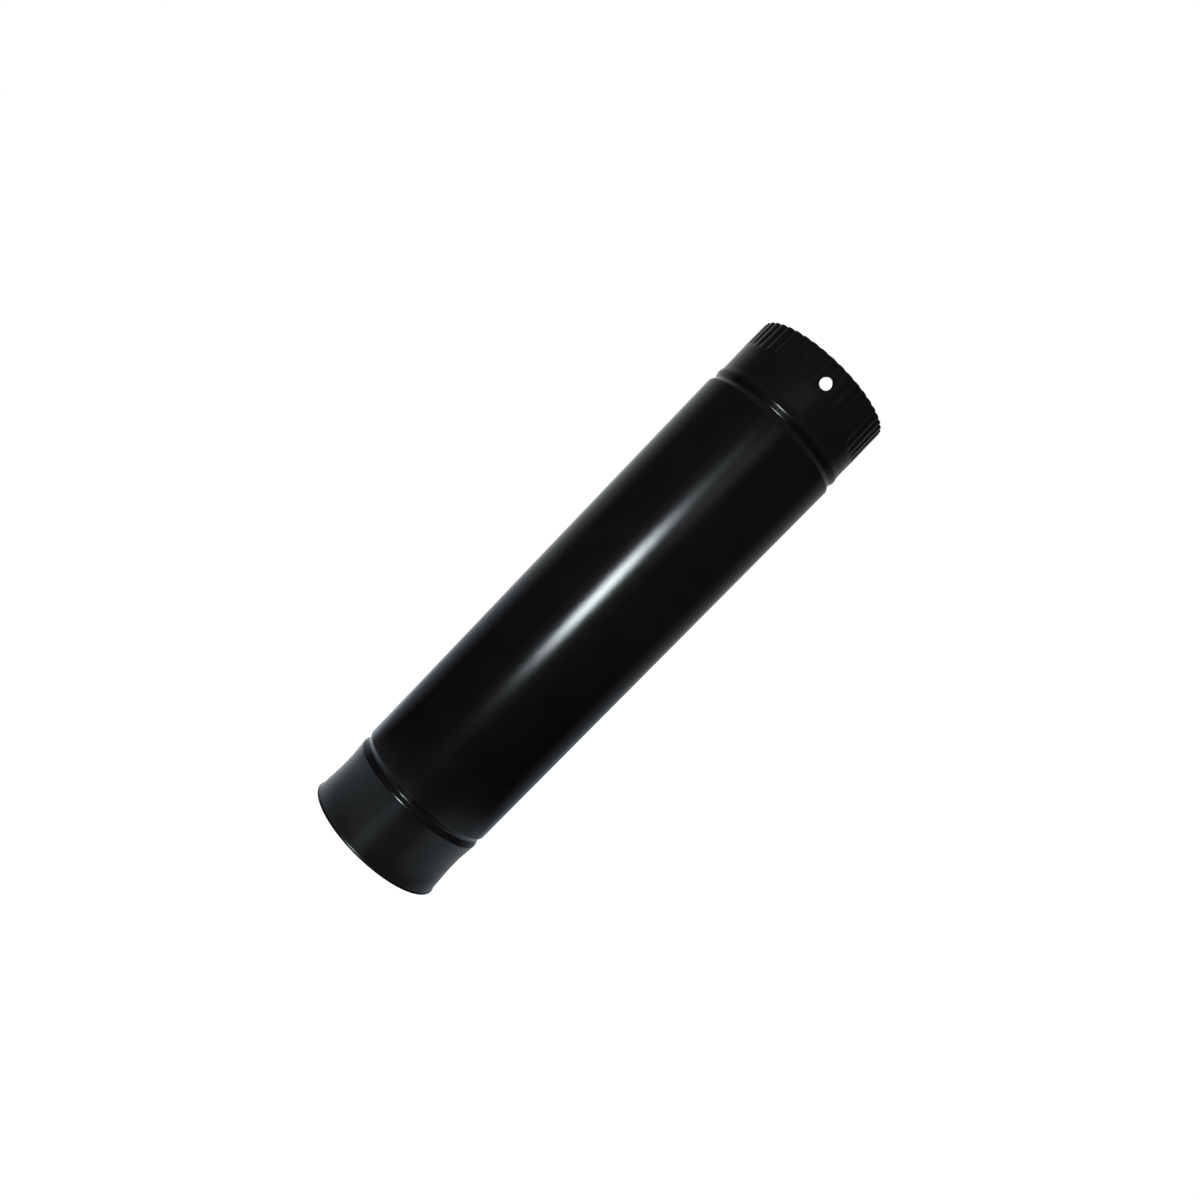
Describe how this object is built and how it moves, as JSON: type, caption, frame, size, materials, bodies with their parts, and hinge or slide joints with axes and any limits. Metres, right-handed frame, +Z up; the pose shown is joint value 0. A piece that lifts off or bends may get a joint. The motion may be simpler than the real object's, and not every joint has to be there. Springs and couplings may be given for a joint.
{
  "type": "stove pipe",
  "caption": "Straight single-wall black steel stove pipe: flared plain socket at one end, crimped spigot with a punched hole at the other, a stop bead and groove near each.",
  "frame": {"origin": "middle of the lower, flared rim, on the plane that the pipe stands on", "axes": "+Z up the pipe's axis, from the plain socket end to the crimped spigot end; the punched hole faces -Y and the seam faces +Y"},
  "size_m": [0.1547, 0.1548, 0.615],
  "materials": {
    "black_paint": "satin heat-resistant paint with a fine orange peel"
  },
  "bodies": {
    "root": {"stove_pipe": "black_paint"}
  },
  "joints": []
}
